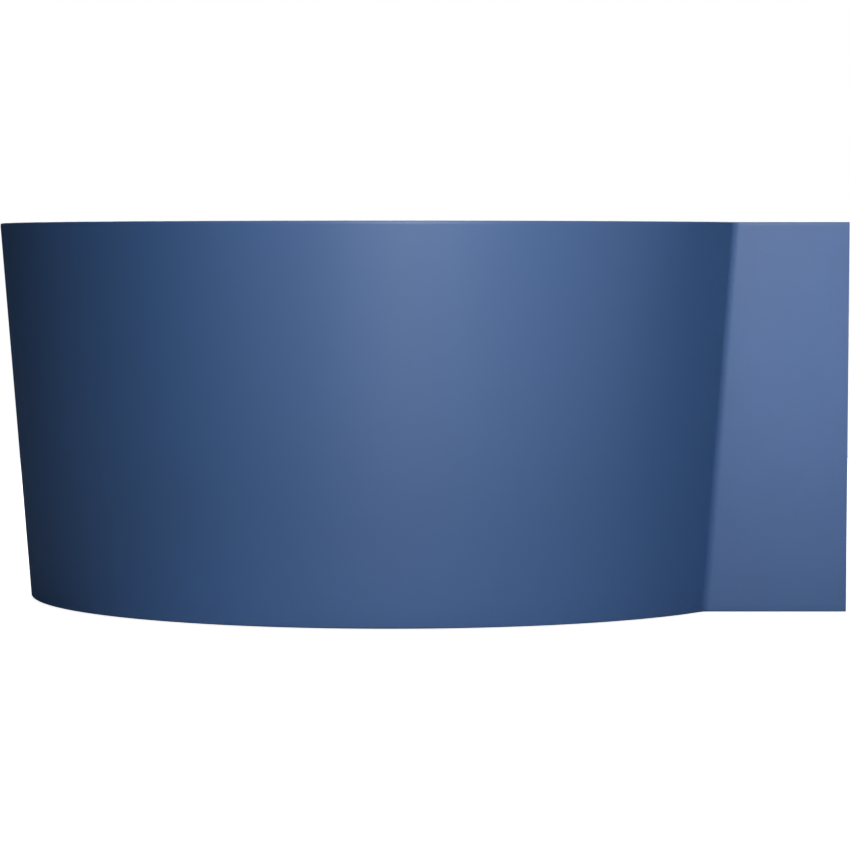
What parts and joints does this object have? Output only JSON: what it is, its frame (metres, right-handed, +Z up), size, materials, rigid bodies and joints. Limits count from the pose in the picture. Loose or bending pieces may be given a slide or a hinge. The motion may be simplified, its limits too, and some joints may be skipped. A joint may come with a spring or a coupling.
{
  "type": "corner bathtub",
  "caption": "Corner bath with a round basin, a tapered round apron between two flat panels, a steel frame on levelling feet, and a pop-up waste worked by the overflow's knob.",
  "frame": {"origin": "middle of the square footprint, at floor level", "axes": "+Z up; +X along the back wall to the right, towards the wall at the right; +Y to the back wall, so the room's corner is at +X +Y and the flat panels face -X and -Y"},
  "size_m": [1.3999, 1.3999, 0.632],
  "materials": {
    "acrylic_blue": "satin",
    "laminate": "rough glass fibre",
    "timber": "unfinished",
    "galvanised": "hot-dip galvanised",
    "zinc": "zinc plated",
    "chrome": "polished",
    "black_plastic": "moulded",
    "white_plastic": "moulded",
    "seal_rubber": "moulded"
  },
  "bodies": {
    "bath": {"bath_shell": "acrylic_blue", "apron": "acrylic_blue", "basin_laminate": "laminate", "base_board": "timber", "rim_ring": "timber", "foot_ring": "timber", "main_rail": "galvanised", "front_rail": "galvanised", "tie_rails": "galvanised", "wall_rail_back": "galvanised", "wall_rail_side": "galvanised", "corner_gusset": "galvanised", "corner_post": "galvanised", "back_post": "galvanised", "side_post": "galvanised", "rim_rail_back": "galvanised", "rim_rail_side": "galvanised", "wall_brackets": "galvanised", "apron_stays": "galvanised", "panel_packers": "timber", "weld_nuts": "zinc", "lock_nuts": "zinc", "waste_flange": "chrome", "flange_seal": "seal_rubber", "waste_gasket": "seal_rubber", "waste_body": "black_plastic", "lever_pin": "zinc", "trap_nut": "white_plastic", "trap_body": "white_plastic", "trap_cap": "white_plastic", "outlet_nut": "white_plastic", "outlet_pipe": "white_plastic", "overflow_flange": "chrome", "overflow_seal": "seal_rubber", "overflow_gasket": "seal_rubber", "overflow_body": "black_plastic", "overflow_screws": "zinc", "overflow_hose": "black_plastic", "hose_nut_top": "black_plastic", "hose_nut_bottom": "black_plastic", "lift_cable": "zinc"},
    "overflow_knob": {"overflow_knob": "chrome", "knob_spindle": "zinc"},
    "drain_plug": {"plug_cap": "chrome", "plug_stem": "zinc", "plug_seal": "seal_rubber"},
    "lift_lever": {"lift_lever": "zinc"},
    "foot_1": {"foot_stud_1": "zinc", "foot_pad_1": "black_plastic"},
    "foot_2": {"foot_stud_2": "zinc", "foot_pad_2": "black_plastic"},
    "foot_3": {"foot_stud_3": "zinc", "foot_pad_3": "black_plastic"},
    "foot_4": {"foot_stud_4": "zinc", "foot_pad_4": "black_plastic"},
    "foot_5": {"foot_stud_5": "zinc", "foot_pad_5": "black_plastic"}
  },
  "joints": [
    {"name": "knob_turn", "type": "hinge", "parent": "bath", "child": "overflow_knob", "pos_m": [0.36904, 0.36904, 0.547], "axis": [-0.6861, -0.6861, 0.2419], "range_deg": [0, 90]},
    {"name": "plug_lift", "type": "slide", "parent": "bath", "child": "drain_plug", "axis": [0, 0, 1], "range_m": [0, 0.012]},
    {"name": "lever_turn", "type": "hinge", "parent": "bath", "child": "lift_lever", "pos_m": [-0.02469, -0.02469, 0.1345], "axis": [-0.7071, 0.7071, 0], "range_deg": [0, 44.05]},
    {"name": "foot_1_screw", "type": "slide", "parent": "bath", "child": "foot_1", "axis": [0, 0, -1], "range_m": [-0.003, 0.025]},
    {"name": "foot_2_screw", "type": "slide", "parent": "bath", "child": "foot_2", "axis": [0, 0, -1], "range_m": [-0.003, 0.025]},
    {"name": "foot_3_screw", "type": "slide", "parent": "bath", "child": "foot_3", "axis": [0, 0, -1], "range_m": [-0.003, 0.025]},
    {"name": "foot_4_screw", "type": "slide", "parent": "bath", "child": "foot_4", "axis": [0, 0, -1], "range_m": [-0.003, 0.025]},
    {"name": "foot_5_screw", "type": "slide", "parent": "bath", "child": "foot_5", "axis": [0, 0, -1], "range_m": [-0.003, 0.025]}
  ],
  "couplings": [
    {"joint": "plug_lift", "follows": "knob_turn", "m_per_rad": 0.0076394},
    {"joint": "lever_turn", "follows": "knob_turn", "ratio": 0.48943}
  ]
}
